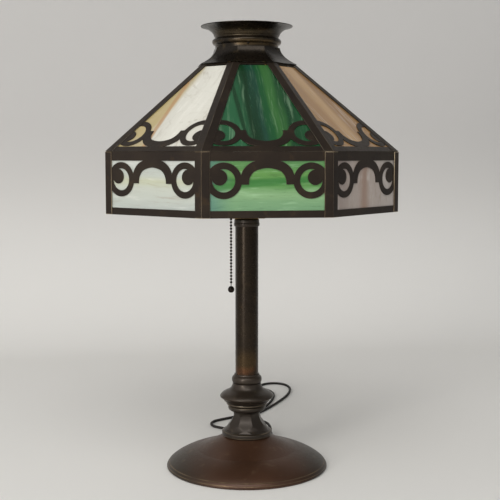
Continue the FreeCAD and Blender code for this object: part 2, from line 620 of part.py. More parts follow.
def build_slope():
    """Eight sloping sides: pierced overlays, glass behind them and hip strips."""
    low_z, high_z = dim("skirt_high") + dim("seam"), dim("slope_high")
    low, high = dim("skirt_apothem"), dim("slope_top_apothem")
    run, rise = low - high, high_z - low_z
    length = math.hypot(run, rise)
    lean = math.degrees(math.atan2(run, rise))
    half = math.tan(HALF_STEP)
    gap = dim("overlay_side_gap")

    overlay = pierced_overlay("slope", 2 * (low * half - gap), 2 * (high * half - gap),
                              length, dim("lower_rail"), dim("crown_rail"), -1)
    overlay.rotate(V(0, 0, 0), V(1, 0, 0), -lean)
    overlay.translate(V(0, -low, low_z))
    ring_of("upper_filigree", overlay)

    store("slope_length", length)
    store("slope_taper", (low - high) * half / length)
    pane_start = "$slope_pane_end_inset"
    pane_stop = "$slope_length - $slope_pane_end_inset"
    pane_half = "($skirt_apothem * tan(%g deg) - $slope_taper * (%s) - $slope_pane_side_inset)"
    widest, narrowest = (pane_half % (STEP_DEG / 2, place) for place in (pane_start, pane_stop))
    depth = "-$overlay_thick - $glass_gap"
    inner_depth = depth + " - $glass_thick"
    for side in range(SIDES):
        turn = side * STEP_DEG
        name = "upper_glass_%d" % (side + 1)
        pane = primitive("Wedge", name, Ymin=pane_start, Ymax=pane_stop,
                         Xmin="-" + widest, Xmax=widest, X2min="-" + narrowest, X2max=narrowest,
                         Zmin=inner_depth, Zmax=depth, Z2min=inner_depth, Z2max=depth,
                         **spot("0", "-$skirt_apothem", "$skirt_high + $seam", turn))
        pane.Placement.Rotation = (FreeCAD.Rotation(UP, turn)
                                   * FreeCAD.Rotation(V(1, 0, 0), 90 - lean))
        keep(name, pane)

    lift, cover = dim("hip_lift"), dim("hip_lift") + dim("strip_thick")
    shell = frustum(low + cover, low_z, high + cover, high_z)
    shell = shell.cut(frustum(low + lift, low_z, high + lift, high_z))
    hip_run = run / math.cos(HALF_STEP)
    hip_cos = math.sin(HALF_STEP) * hip_run / math.hypot(hip_run, rise)
    in_plan = math.cos(HALF_STEP) / math.sqrt(1 - hip_cos ** 2)
    corner = 1 / math.cos(HALF_STEP)
    bands = corner_bands(dim("hip_width_high") * in_plan, high * corner * 0.99,
                         dim("hip_width_low") * in_plan, low * corner * 1.02, low_z, high_z)
    shaped("hip_strips", Part.makeCompound([shell.common(wedge) for wedge in bands]))


def build_clips():
    """Soft metal tabs, bent over behind the glass: two at each end of every upright pane."""
    apothem = dim("skirt_apothem") - dim("overlay_thick")
    depth = dim("glass_gap") + dim("glass_thick") + 0.2
    width, tab, thick = dim("clip_width"), dim("clip_tab"), dim("clip_thick")
    low = dim("skirt_low") + 1.0
    middle = (dim("skirt_low") + dim("skirt_high")) / 2
    clips = []
    for sign in (-1, 1):
        left = sign * dim("clip_aside") - width / 2
        behind = Part.makeBox(width, thick, tab, V(left, depth - apothem, low))
        through = Part.makeBox(width, depth, thick, V(left, -apothem, low))
        clip = behind.fuse(through)
        clips += [clip, clip.mirror(V(0, 0, middle), UP)]
    shaped("glass_clips", Part.makeCompound(
        [around(clip, side * STEP_DEG) for side in range(SIDES) for clip in clips]))


# ---------------------------------------------------------------- cord and plug

# Route of the free cord from the bushing, by hand: a small loop to the left, a long loop
# to the right behind the base, and back to the coil against the dome.
CORD_ROUTE = [
    (0, 123, 6.5), (0, 139, 4.8), (-1, 157, 2.6), (-9, 176, 2), (-24, 187, 2),
    (-29, 204, 2), (-22.5, 221, 2), (-4, 232, 2), (22, 247, 2), (49, 267, 2),
    (68, 295, 2), (82.5, 327, 2), (93, 359, 2), (98, 386, 2), (95, 410, 2),
    (84, 427, 2), (81.5, 446, 2), (91, 462.5, 2), (110, 469, 2), (128.5, 458.5, 2),
    (134, 431, 2), (128, 399, 2), (117, 368, 2), (103, 341, 2), (87.5, 313, 2),
    (70, 285, 2), (52, 258, 2), (36, 235, 2), (21, 211, 2), (10.5, 186, 2), (6, 161, 2),
    (6.2, 137.5, 2)]
# Last length of cord: off the top of the coil, round behind it and into the plug.
TAIL_ROUTE = [
    (53.4, 131, 10.2), (54.2, 150, 11.4), (50.2, 165, 12.6), (38.4, 174.6, 14), (23, 174.6, 15.6),
    (11.4, 165.4, 17), (8, 151, 18), (8, 141, 18)]


def build_cord():
    """Tapered bushing in the dome, the free cord, the coil of its spare length, the plug."""
    bushing = turned("cord_bushing", [
        ("in_low", 2.2, 0.0), ("root", 4.6, 0.0), ("root_top", 4.6, 10.2),
        ("flange", 5.6, 10.2), ("flange_top", 5.6, 11.8), ("neck", 4.0, 13.2, -1.6),
        ("tip", 2.7, 27.0), ("in_high", 2.2, 27.0)])
    root = V(0, 96, dim("cord_exit_height"))
    bushing.Placement = FreeCAD.Placement(root, FreeCAD.Rotation(V(1, 0, 0), -90))

    radius = dim("cord_radius")
    shaped("power_cord", swept([V(*p) for p in CORD_ROUTE], radius, "power_cord"))
    shaped("cord_tail", swept([V(*p) for p in TAIL_ROUTE], radius, "cord_tail"))
    inner = [root, V(0, 0, 4.6), V(0, 0, 345)]
    shaped("inner_lead", swept(inner, dim("lead_radius"), largest=8.0))
    coil = turned("cord_coil", [
        ("in_low", 18.0, 0.0), ("out_low", 26.0, 0.0), ("out_high", 26.0, 12.0),
        ("in_high", 18.0, 12.0)])
    coil.Placement.Base = V(dim("coil_x"), dim("coil_y"), 0)

    x, tail, floor = dim("plug_x"), dim("plug_tail"), dim("plug_floor")
    length, width, tall = dim("plug_length"), dim("plug_width"), dim("plug_height")
    grip = Part.makeBox(width, length * 0.55, tall, V(x - width / 2, tail - length, floor))
    neck = Part.makeCone(tall / 2 - 0.6, radius + 1.2, length / 2,
                         V(x, tail - length / 2, floor + tall / 2), V(0, 1, 0))
    shaped("plug_body", grip.makeFillet(2.5, grip.Edges).fuse(neck))
    blades = []
    for side, label in HANDS:
        blade_x = "$plug_x + %d * $blade_apart / 2 - $blade_thick / 2" % side
        blade = box("blade_" + label, "$blade_thick", "$blade_length", "$blade_tall", blade_x,
                    "$plug_tail - $plug_length - $blade_length",
                    "$plug_floor + $plug_height / 2 - $blade_tall / 2")
        hole = drum("blade_hole_" + label, "$blade_hole", "$blade_thick * 3",
                    blade_x + " - $blade_thick",
                    "$plug_tail - $plug_length - $blade_hole_reach",
                    "$plug_floor + $plug_height / 2", V(1, 0, 0))
        blades.append(cut("blade_drilled_" + label, blade, hole))
    pair = doc.addObject("Part::Compound", "blade_pair")
    pair.Links = blades
    keep("plug_blades", pair)


# ---------------------------------------------------------------- build, check, write

for build in (build_base, build_column, build_socket, build_guide, build_harp,
              build_pull_chain, build_crown, build_spider, build_skirt, build_slope,
              build_clips, build_cord):
    build()
doc.recompute()

for item in doc.Objects:
    if "Invalid" in item.State or "Error" in item.State:
        raise RuntimeError("%s failed: %s" % (item.Name, item.State))
os.makedirs("parts", exist_ok=True)
for name, obj in nodes.items():
    shape = obj.Shape
    if shape.isNull() or not shape.isValid() or not shape.Solids:
        raise RuntimeError("%s has no valid solid" % name)
    shape.exportStep("parts/%s.step" % name)
print(len(nodes), "sub-parts written")
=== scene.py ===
import math

import bpy
from mathutils import Euler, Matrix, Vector


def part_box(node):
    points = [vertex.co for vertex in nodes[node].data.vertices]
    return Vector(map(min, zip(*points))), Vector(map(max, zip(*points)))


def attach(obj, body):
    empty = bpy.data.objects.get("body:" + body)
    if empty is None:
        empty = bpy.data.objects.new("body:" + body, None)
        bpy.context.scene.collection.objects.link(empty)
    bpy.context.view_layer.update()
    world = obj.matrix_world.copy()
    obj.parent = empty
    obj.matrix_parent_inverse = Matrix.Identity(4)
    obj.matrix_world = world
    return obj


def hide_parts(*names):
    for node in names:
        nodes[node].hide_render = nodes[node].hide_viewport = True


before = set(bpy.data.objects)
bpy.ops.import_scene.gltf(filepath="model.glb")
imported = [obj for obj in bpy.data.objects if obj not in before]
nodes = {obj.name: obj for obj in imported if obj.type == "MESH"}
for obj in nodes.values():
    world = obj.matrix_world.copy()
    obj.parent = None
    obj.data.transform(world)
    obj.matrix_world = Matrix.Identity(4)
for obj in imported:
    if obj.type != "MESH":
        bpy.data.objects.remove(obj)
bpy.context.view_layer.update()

SIDES = 8
SIDE_ANGLE = 2 * math.pi / SIDES


# ------------------------------------------------------------------ material helpers

def srgb(code):
    """A linear colour from the six hex digits of an sRGB one."""
    parts = [int(code[i:i + 2], 16) / 255 for i in (0, 2, 4)]
    linear = [c / 12.92 if c <= 0.04045 else ((c + 0.055) / 1.055) ** 2.4 for c in parts]
    return (*linear, 1.0)


def add_node(tree, kind, **settings):
    """A new node of a tree, with the settings that its sockets don't hold."""
    made = tree.nodes.new(kind)
    for key, value in settings.items():
        setattr(made, key, value)
    return made


class Paint:
    """One material's node tree, with a short call for each kind of node used here."""

    def __init__(self, name):
        self.material = bpy.data.materials.new(name)
        self.material.use_nodes = True
        self.tree = self.material.node_tree
        self.shader = self.tree.nodes["Principled BSDF"]
        self.place = self.node("ShaderNodeTexCoord").outputs["Object"]

    def node(self, kind, **settings):
        return add_node(self.tree, kind, **settings)

    def feed(self, socket, value):
        """Set a socket to a constant, or link it to another node's output."""
        if isinstance(value, bpy.types.NodeSocket):
            self.tree.links.new(value, socket)
        else:
            socket.default_value = value

    def seen_from(self, origin, turn):
        """Places as measured from a frame with this origin and Euler turn."""
        made = self.node("ShaderNodeMapping", vector_type="TEXTURE")
        for name, value in (("Vector", self.place), ("Rotation", tuple(turn)),
                            ("Location", tuple(origin))):
            self.feed(made.inputs[name], value)
        return made.outputs["Vector"]

    def noise(self, scale, vector=None, detail=4.0, rough=0.5, warp=0.0):
        """Cloudy grey pattern; scale is in cycles per unit of the vector, metres by default."""
        made = self.node("ShaderNodeTexNoise")
        for name, value in (("Vector", vector or self.place), ("Scale", scale),
                            ("Detail", detail), ("Roughness", rough), ("Distortion", warp)):
            self.feed(made.inputs[name], value)
        return made.outputs["Fac"]

    def math(self, operation, first, second=0.0):
        made = self.node("ShaderNodeMath", operation=operation)
        self.feed(made.inputs[0], first)
        self.feed(made.inputs[1], second)
        return made.outputs[0]

    def distance(self, value, place):
        """How far a value is from a place, on either side."""
        return self.math("ABSOLUTE", self.math("SUBTRACT", value, place))

    def swing(self, pattern, reach):
        """A pattern between 0 and 1 as a shift to both sides of 0, reach from end to end."""
        return self.math("MULTIPLY", self.math("SUBTRACT", pattern, 0.5), reach)

    def split(self, vector):
        made = self.node("ShaderNodeSeparateXYZ")
        self.feed(made.inputs[0], vector)
        return made.outputs

    def join(self, x, y, z):
        made = self.node("ShaderNodeCombineXYZ")
        for socket, value in zip(made.inputs, (x, y, z)):
            self.feed(socket, value)
        return made.outputs[0]

    def fade(self, value, low, high, out_low=0.0, out_high=1.0):
        """Smooth step of a value between two limits."""
        made = self.node("ShaderNodeMapRange", interpolation_type="SMOOTHSTEP")
        for name, number in (("Value", value), ("From Min", low), ("From Max", high),
                             ("To Min", out_low), ("To Max", out_high)):
            self.feed(made.inputs[name], number)
        return made.outputs["Result"]

    def ramp(self, factor, stops):
        """Colour of a factor between stops of (position, hex code)."""
        made = self.node("ShaderNodeValToRGB")
        made.color_ramp.interpolation = "EASE"
        points = made.color_ramp.elements
        while len(points) < len(stops):
            points.new(1.0)
        for point, (position, code) in zip(points, stops):
            point.position = position
            point.color = srgb(code)
        self.feed(made.inputs["Fac"], factor)
        return made.outputs["Color"]

    def mix(self, factor, low, high):
        """Colours low and high mixed by a factor; each is a hex code or an output."""
        made = self.node("ShaderNodeMix", data_type="RGBA")
        self.feed(made.inputs["Factor"], factor)
        for name, value in (("A", low), ("B", high)):
            socket = [s for s in made.inputs if s.name == name and s.type == "RGBA"][0]
            self.feed(socket, srgb(value) if isinstance(value, str) else value)
        return [s for s in made.outputs if s.type == "RGBA"][0]

    def bump(self, height, depth, strength=1.0):
        """Normal of a height pattern whose full swing is depth metres."""
        made = self.node("ShaderNodeBump")
        for name, value in (("Height", height), ("Distance", depth), ("Strength", strength)):
            self.feed(made.inputs[name], value)
        return made.outputs["Normal"]

    def surface(self, **inputs):
        """Feed the shader: Base_Color=..., Roughness=..., and return the material."""
        for name, value in inputs.items():
            self.feed(self.shader.inputs[name.replace("_", " ")], value)
        return self.material


def dress(material, *names):
    """Give CAD nodes a material."""
    for name in names:
        mesh = nodes[name].data
        mesh.materials.clear()
        mesh.materials.append(material)


# ------------------------------------------------------------------ metals

# Patterns on the bronze, in cycles per metre.
CLOUDS = 19
GRAIN = 260
TONE_AND_GLINT_PATCHES = 34
RUBBED_PATCHES = 75
EDGE_PATCHES = 45
# Metres from a turned edge up to which it is fully scuffed bright with a painted highlight, and
# from which it isn't.
EDGE_LINE = (0.0002, 0.0007)
# Metres by which the clouds move the limit of the painted shade on the flanks.
RAGGED_FLANK = 0.03


def bronze(name, body, cloud, rubbed_and_sheen, rough, metallic, edges=(), bands=(), flanks=None):
    """Browned bronze under old lacquer: a dark body, soft clouds and places scuffed bright.

    edges are heights of turned edges that are scuffed bright and carry a painted highlight.
    bands are broad rings of another tone, each (height, half width, strength, hex code): a
    painted highlight with scuffed brass on the crown, a reddish and a brassy ring on the tube.
    flanks is (hex code, from, to): painted shade, the colour that the body turns to with
    distance to the left and right of the axis.
    """
    paint = Paint(name)
    broad = paint.noise(CLOUDS, detail=3, rough=0.55)
    fine = paint.noise(GRAIN, detail=5, rough=0.6)
    colour = paint.mix(paint.fade(broad, 0.4, 0.68), body, cloud)
    x, _, z = paint.split(paint.place)
    # Painted shade: the body turns darker and greyer towards its left and right sides.
    if flanks:
        code, near, far = flanks
        ragged = paint.math("ADD", paint.distance(x, 0.0),
                            paint.math("MULTIPLY", broad, RAGGED_FLANK))
        colour = paint.mix(paint.fade(ragged, near, far), colour, code)
    # Broad rings of another tone: a painted highlight with scuffed brass on the crown, a reddish
    # and a brassy ring on the tube.
    for height, half, strength, code in bands:
        tone_and_glint = paint.fade(paint.distance(z, height), half * 0.3, half, strength, 0.0)
        patches = paint.fade(paint.noise(TONE_AND_GLINT_PATCHES, detail=2), 0.38, 0.6)
        colour = paint.mix(paint.math("MULTIPLY", tone_and_glint, patches), colour, code)
    colour = paint.mix(paint.fade(fine, 0.35, 0.65, 0.0, 0.15), colour, cloud)
    wear_and_sheen = paint.fade(paint.noise(RUBBED_PATCHES, detail=2), 0.6, 0.8, 0, 0.3)
    # Lines along turned edges: scuffed bright, and lighter partly as a painted highlight.
    for height in edges:
        line = paint.fade(paint.distance(z, height), *EDGE_LINE, 1.0, 0.0)
        patches = paint.fade(paint.noise(EDGE_PATCHES, detail=3), 0.35, 0.6, 0.1, 0.7)
        wear_and_sheen = paint.math("MAXIMUM", wear_and_sheen, paint.math("MULTIPLY", line, patches))
    colour = paint.mix(wear_and_sheen, colour, rubbed_and_sheen)
    normal = paint.bump(broad, 0.0008, 0.25)
    return paint.surface(Base_Color=colour, Roughness=paint.fade(fine, 0.2, 0.8, *rough),
                         Normal=normal, Metallic=paint.fade(wear_and_sheen, 0.0, 0.6, metallic, 0.95))


def plain_metal(name, low, high, rough_low, rough_high, metallic=1.0, grain=180, depth=0.00008):
    """Metal whose tone and roughness drift between two limits with a fine grain."""
    paint = Paint(name)
    drift = paint.noise(grain * 0.12, detail=3)
    fine = paint.noise(grain, detail=5, rough=0.6)
    colour = paint.mix(paint.fade(drift, 0.35, 0.68), low, high)
    return paint.surface(Base_Color=colour, Metallic=metallic,
                         Roughness=paint.fade(fine, 0.3, 0.7, rough_low, rough_high),
                         Normal=paint.bump(fine, depth, 0.6))


# The foot's flanks are painted shade on the dome's left and right sides.
FOOT_BRONZE = bronze("bronze_foot", "432b1c", "4b3121", "7d6c56", (0.36, 0.48), 0.45,
                     edges=(0.0073, 0.004), flanks=("2b251b", 0.055, 0.115))
TURNED_BRONZE = bronze("bronze_turned", "312a23", "3c3229", "776a57", (0.3, 0.42), 0.55,
                       edges=(0.0432, 0.0482, 0.0812, 0.0846, 0.0928))
TUBE_BRONZE = bronze("bronze_tube", "231b13", "2b2217", "523f2a", (0.26, 0.3), 0.75,
                     bands=((0.122, 0.016, 0.7, "6e3f28"), (0.135, 0.03, 0.35, "5e4828")))
# The crown's rings are a painted highlight on the neck and bead, partly scuffed brass.
CROWN_BRONZE = bronze("bronze_crown", "241f19", "2e271f", "6b5b40", (0.24, 0.36), 0.8,
                      bands=((0.5515, 0.005, 0.5, "6b5738"), (0.563, 0.009, 0.22, "5c4c30")))
SHADE_BRONZE = bronze("bronze_shade", "261d16", "30261c", "5d4b37", (0.36, 0.48), 0.6)
# The two edge metals are scuffed metal with a painted highlight along the bevels, brighter on the
# corner strips.
EDGE_WEAR_AND_SHEEN = plain_metal("edge_wear_and_sheen", "3c342a", "6c6252", 0.35, 0.5, metallic=0.7)
CORNER_WEAR_AND_SHEEN = plain_metal("corner_wear_and_sheen", "75644f", "b5a488", 0.3, 0.45, metallic=0.75, grain=90)
BRASS = plain_metal("aged_brass", "8a6e3c", "b39458", 0.25, 0.45)
SOCKET_BRASS = plain_metal("socket_brass", "6a5430", "8f7546", 0.3, 0.5)
CHAIN_METAL = plain_metal("chain_metal", "15110e", "282017", 0.28, 0.42, metallic=0.8, grain=900)
STEEL = plain_metal("plated_steel", "77757a", "9a989a", 0.3, 0.5)
CAST_IRON = plain_metal("cast_iron", "2c2b2a", "454340", 0.7, 0.9, metallic=0.4, grain=700,
                        depth=0.0006)
SOLDER = plain_metal("tinned_tabs", "6d6a62", "96928a", 0.4, 0.6, grain=500)


# ------------------------------------------------------------------ other plain materials

def simple(name, low, high, scale, rough, depth=0.0, **extra):
    """A non-metal with a two-tone mottle and a bump of the same grain."""
    paint = Paint(name)
    grain = paint.noise(scale, detail=5, rough=0.6)
    colour = paint.mix(paint.fade(grain, 0.3, 0.7), low, high)
    if depth:
        extra["Normal"] = paint.bump(grain, depth)
    return paint.surface(Base_Color=colour, Roughness=rough, **extra)


FELT = simple("green_felt", "2c4433", "3e5a45", 900, 1.0, 0.0006, Sheen_Weight=0.4)
RUBBER = simple("bushing_rubber", "141210", "201d1a", 300, 0.7, 0.0001)
PLUG = simple("plug_plastic", "1c1511", "271d17", 60, 0.35, 0.00005)
CARD = simple("fibre_card", "5a4c3a", "7a6850", 400, 0.95, 0.0002)
CERAMIC = simple("porcelain", "cfc8ba", "e0dacd", 40, 0.25)
BULB = simple("frosted_bulb", "d8d4ca", "e6e2d8", 30, 0.4, Subsurface_Weight=0.3,
              Subsurface_Radius=(0.01, 0.01, 0.01))


# ------------------------------------------------------------------ slag glass

# Lengths in metres over which a run of tones is spread.
PANE_WIDTH = 0.15
SLOPED_PANE_HEIGHT = 0.165
SKIRT_PANE_HEIGHT = 0.075
# Patterns in the glass in cycles per metre, those of the streaks in cycles per streak.
SWIRLS = 11
WIDE_STREAKS = 0.35
THIN_STREAKS = 2.4
WISPS = 19
WISP_PATCHES = 24
RIPPLES = 60
# Light and dark streaks of the green panes and of the opal ones.
GREEN_STREAKS = ("b9dcb4", "0c2a14")
OPAL_STREAKS = ("f6f3ec", "8a7a6a")


def is_green(side):
    return side % 2 == 0


def pane_frame(side, sloped):
    """Origin and Euler turn of a pane: x across, z up the pane, y into the shade."""
    skirt_low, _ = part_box("lower_filigree")
    origin = Vector((0, skirt_low.y, skirt_low.z))
    turn = Euler((0, 0, side * SIDE_ANGLE))
    lean = 0.0
    if sloped:
        slope_low, slope_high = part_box("upper_filigree")
        top_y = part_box("upper_glass_1")[1].y
        origin.z = slope_low.z
        lean = math.atan2(top_y - origin.y, slope_high.z - slope_low.z)
    origin.rotate(turn)
    turn.x = -lean
    return origin, turn


def slag_glass(name, side, sloped, drift, tones, flow, threads=None, blush=None, band=None):
    """Rolled slag glass: tones swirled together and drawn out into streaks.

    drift names the direction of the pane in which the tones change ("x" or "z"). tones is
    the run of (position, hex code) from one side of the pane to the other. flow is (streaks
    per metre across them, along them, wander in metres). threads is (hex code, strength) of
    thin darker wisps. blush is (hex code, edge, from, to), a tint towards the left (-1) or
    the right (1). band is (hex code, place, lean, half width) of one dark ribbon.
    """
    paint = Paint(name)
    x, _, z = paint.split(paint.seen_from(*pane_frame(side, sloped)))
    seed = 3.7 * side + (1.9 if sloped else 0.0)
    flat = paint.join(x, seed, z)
    height = SLOPED_PANE_HEIGHT if sloped else SKIRT_PANE_HEIGHT
    across, along, start, reach = (x, z, -PANE_WIDTH / 2, PANE_WIDTH)
    if drift == "z":
        across, along, start, reach = (z, x, 0.0, height)
    fine, slow, wander = flow
    bent = paint.math("ADD", across, paint.swing(paint.noise(SWIRLS, flat, detail=3), wander))
    drawn = paint.join(paint.math("MULTIPLY", bent, fine), seed,
                       paint.math("MULTIPLY", along, slow))
    wide = paint.noise(WIDE_STREAKS, drawn, detail=3, rough=0.55)
    thin = paint.noise(THIN_STREAKS, drawn, detail=6, rough=0.68)
    place = paint.math("ADD", paint.fade(bent, start, start + reach), paint.swing(wide, 0.55))
    colour = paint.ramp(place, tones)
    light_streak, dark_streak = GREEN_STREAKS if is_green(side) else OPAL_STREAKS
    lighter = paint.mix(0.22, colour, light_streak)
    darker = paint.mix(0.35, colour, dark_streak)
    colour = paint.mix(paint.fade(thin, 0.52, 0.72), colour, lighter)
    colour = paint.mix(paint.fade(thin, 0.46, 0.3), colour, darker)
    if blush:
        code, edge, near, far = blush
        towards = paint.math("MULTIPLY", bent if drift == "x" else x, float(edge))
        colour = paint.mix(paint.fade(towards, near, far, 0.0, 0.85), colour, code)
    if band:
        code, middle, lean, half = band
        upright = paint.math("SUBTRACT", across, paint.math("MULTIPLY", along, lean))
        off = paint.math("ADD", paint.distance(upright, middle), paint.swing(thin, half))
        colour = paint.mix(paint.fade(off, half * 0.3, half, 0.8, 0.0), colour, code)
    if threads:
        code, strength = threads
        wisp = paint.noise(WISPS, flat, rough=0.6, warp=0.8)
        thread = paint.fade(paint.distance(wisp, 0.5), 0.0, 0.03, 1.0, 0.0)
        patchy = paint.fade(paint.noise(WISP_PATCHES, flat), 0.45, 0.65, 0.1, strength)
        colour = paint.mix(paint.math("MULTIPLY", thread, patchy), colour, code)
    ripple = paint.noise(RIPPLES, flat, detail=3)
    return paint.surface(Base_Color=colour, Roughness=0.24, IOR=1.48, Coat_Weight=0.1,
                         Coat_Roughness=0.08, Normal=paint.bump(ripple, 0.0006, 0.35))


EMERALD = [(0.0, "184628"), (0.25, "235636"), (0.38, "0b2e16"), (0.5, "153c2c"),
           (0.6, "164a25"), (0.68, "305f2d"), (0.8, "0f3a1e"), (1.0, "174727")]
MEADOW = [(0.0, "6c936b"), (0.28, "7b9f71"), (0.5, "548746"), (0.62, "376b30"), (0.8, "5b8a45"),
          (1.0, "4e7c4a")]
WHITE = [(0.0, "bab7aa"), (0.35, "c4c2b7"), (0.7, "cccabf"), (1.0, "c0bcb0")]
PEACH = [(0.0, "927248"), (0.3, "9b764a"), (0.5, "b49266"), (0.62, "906c42"), (1.0, "a07c50")]
PINKISH = [(0.0, "9d9088"), (0.3, "aea299"), (0.5, "9f8778"), (0.7, "b2a69d"),
           (1.0, "b6aea7")]
MILKY = [(0.0, "a4aaa4"), (0.35, "b0b4a9"), (0.6, "aeb19a"), (0.8, "abb0a8"), (1.0, "b3b6af")]
PEACH_SIDES = (1, 5)

for side in range(SIDES):
    upper, lower = "upper_glass_%d" % (side + 1), "lower_glass_%d" % (side + 1)
    if is_green(side):
        dress(slag_glass(upper, side, True, "x", EMERALD, (70, 4, 0.02),
                         band=("0b2c14", -0.019, -0.09, 0.004)), upper)
        dress(slag_glass(lower, side, False, "z", MEADOW, (90, 9, 0.018),
                         blush=("507a6e", -1, 0.035, 0.07),
                         band=("336f30", 0.04, 0.09, 0.006)), lower)
    elif side in PEACH_SIDES:
        dress(slag_glass(upper, side, True, "x", PEACH, (80, 5, 0.01)), upper)
        dress(slag_glass(lower, side, False, "x", PINKISH, (45, 14, 0.02)), lower)
    else:
        dress(slag_glass(upper, side, True, "x", WHITE, (55, 8, 0.03), threads=("a09888", 0.55),
                         blush=("a4915a", -1, 0.014, 0.026),
                         band=("a37f58", -0.019, -0.06, 0.005)), upper)
        dress(slag_glass(lower, side, False, "z", MILKY, (70, 6, 0.015),
                         threads=("a8a79a", 0.12)), lower)


# ------------------------------------------------------------------ CAD nodes that stay

SHARP_FOLD = math.radians(28)
SAME_PLACE = 1e-6


def soften(width, *names, edge_sheen_and_wear=None):
    """Small rounded edges on a CAD node, in a lighter edge material if one is given: scuffed metal
    with a painted highlight.
    """
    for name in names:
        piece = nodes[name]
        if edge_sheen_and_wear:
            piece.data.materials.append(edge_sheen_and_wear)
        custom = piece.data.attributes.get("custom_normal")
        if custom:
            piece.data.attributes.remove(custom)
        for face in piece.data.polygons:
            face.use_smooth = True
        weld = piece.modifiers.new("weld", "WELD")
        weld.merge_threshold = SAME_PLACE
        bevel = piece.modifiers.new("edges", "BEVEL")
        bevel.width = width
        bevel.segments = 2
        bevel.limit_method = "ANGLE"
        bevel.angle_limit = SHARP_FOLD
        bevel.use_clamp_overlap = True
        bevel.material = 1 if edge_sheen_and_wear else -1
        piece.modifiers.new("flat_faces", "WEIGHTED_NORMAL").keep_sharp = True


dress(FOOT_BRONZE, "base_foot")
dress(TURNED_BRONZE, "pedestal", "knop", "column_lower_collar", "column_top_collar")
dress(TUBE_BRONZE, "column_tube")
dress(CROWN_BRONZE, "crown")
dress(SHADE_BRONZE, "lower_filigree", "upper_filigree", "corner_strips", "hip_strips")
dress(CAST_IRON, "base_weight")
dress(FELT, "base_felt")
dress(STEEL, "base_washer", "base_locknut", "lamp_pipe")
dress(RUBBER, "cord_bushing")
dress(PLUG, "plug_body")
dress(BRASS, "plug_blades", "bulb_base", "harp_saddle", "harp_wire", "harp_ferrule_left",
      "harp_ferrule_right", "finial", "spider")
dress(SOCKET_BRASS, "socket_cap", "socket_shell", "pull_chain_guide")
dress(CARD, "socket_insulator")
dress(CERAMIC, "socket_interior")
dress(BULB, "bulb_glass")
dress(CHAIN_METAL, "pull_lead", "pull_chain", "spider_rivets")
dress(SOLDER, "glass_clips")
# The lighter edge materials are scuffed metal and painted highlight along the folds.
soften(0.0003, "lower_filigree", "upper_filigree", edge_sheen_and_wear=EDGE_WEAR_AND_SHEEN)
soften(0.0005, "hip_strips", edge_sheen_and_wear=EDGE_WEAR_AND_SHEEN)
soften(0.0005, "corner_strips", edge_sheen_and_wear=CORNER_WEAR_AND_SHEEN)
soften(0.0004, "plug_body")


# ------------------------------------------------------------------ turned pieces made here

def lathe(name, centre, profile, material, steps=48):
    """Closed turned piece about a vertical axis; profile runs (radius, z) from the foot up."""
    rings = [(r, z) for r, z in profile if r > 0]
    vertices = [(centre[0], centre[1], profile[0][1])]
    for radius, z in rings:
        for step in range(steps):
            angle = 2 * math.pi * step / steps
            vertices.append((centre[0] + radius * math.cos(angle),
                             centre[1] + radius * math.sin(angle), z))
    vertices.append((centre[0], centre[1], profile[-1][1]))
    faces = []
    for ring in range(len(rings) - 1):
        for step in range(steps):
            a = 1 + ring * steps + step
            b = 1 + ring * steps + (step + 1) % steps
            faces.append((a, b, b + steps, a + steps))
    last = 1 + (len(rings) - 1) * steps
    for step in range(steps):
        after = (step + 1) % steps
        faces.append((0, 1 + after, 1 + step))
        faces.append((len(vertices) - 1, last + step, last + after))
    mesh = bpy.data.meshes.new(name)
    mesh.from_pydata(vertices, [], faces)
    for face in mesh.polygons:
        face.use_smooth = True
    mesh.materials.append(material)
    piece = bpy.data.objects.new(name, mesh)
    bpy.context.scene.collection.objects.link(piece)
    return piece


def arc(centre, radius, start, end, steps):
    """Points of an arc about a place in a profile's plane; angles in degrees."""
    angles = [math.radians(start + (end - start) * step / steps) for step in range(steps + 1)]
    return [(centre[0] + radius * math.cos(a), centre[1] + radius * math.sin(a)) for a in angles]


def make_bell():
    """Ball-shaped end bell of the pull chain, with a short neck and a turned groove."""
    low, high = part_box("chain_bell")
    middle = (low + high) / 2
    radius = (high.x - low.x) / 2
    belly = low.z + radius * 0.92
    ball = arc((0, belly), radius, -66, 40, 14)
    groove = [(radius * 0.66, belly + radius * 0.74), (radius * 0.7, belly + radius * 0.86)]
    neck = [(radius * 0.42, high.z - radius * 0.12), (radius * 0.34, high.z)]
    profile = [(0, low.z)] + ball + groove + neck + [(0, high.z)]
    bell = lathe("pull_bell", middle, profile, CHAIN_METAL)
    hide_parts("chain_bell")
    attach(bell, "pull_chain")


make_bell()


# ------------------------------------------------------------------ cord

MM = 0.001
CORD_RADIUS = 2 * MM
# Places along the free cord and along its tail from the coil to the plug, in millimetres.
CORD_ROUTE = [
    (0, 123, 6.5), (0, 139, 4.8), (-1, 157, 2.6), (-9, 176, 2), (-24, 187, 2),
    (-29, 204, 2), (-22.5, 221, 2), (-4, 232, 2), (22, 247, 2), (49, 267, 2),
    (68, 295, 2), (82.5, 327, 2), (93, 359, 2), (98, 386, 2), (95, 410, 2),
    (84, 427, 2), (81.5, 446, 2), (91, 462.5, 2), (110, 469, 2), (128.5, 458.5, 2),
    (134, 431, 2), (128, 399, 2), (117, 368, 2), (103, 341, 2), (87.5, 313, 2),
    (70, 285, 2), (52, 258, 2), (36, 235, 2), (21, 211, 2), (10.5, 186, 2), (6, 161, 2)]
TAIL_ROUTE = [
    (54.2, 150, 11.4), (50.2, 165, 12.6), (38.4, 174.6, 14), (23, 174.6, 15.6),
    (11.4, 165.4, 17), (8, 151, 18), (8, 141, 18)]
# Each stretch of the coil: turns, ring radius and height. The steps between them are eased.
COIL_TURNS = [(1, 24, 2), (1, 20, 2), (1, 20, 6), (1, 24, 6), (1.25, 20, 10), (0.25, 24, 10)]
COIL_CENTRE = (29, 130)
COIL_STEPS = 16
EASING_STEPS = 3
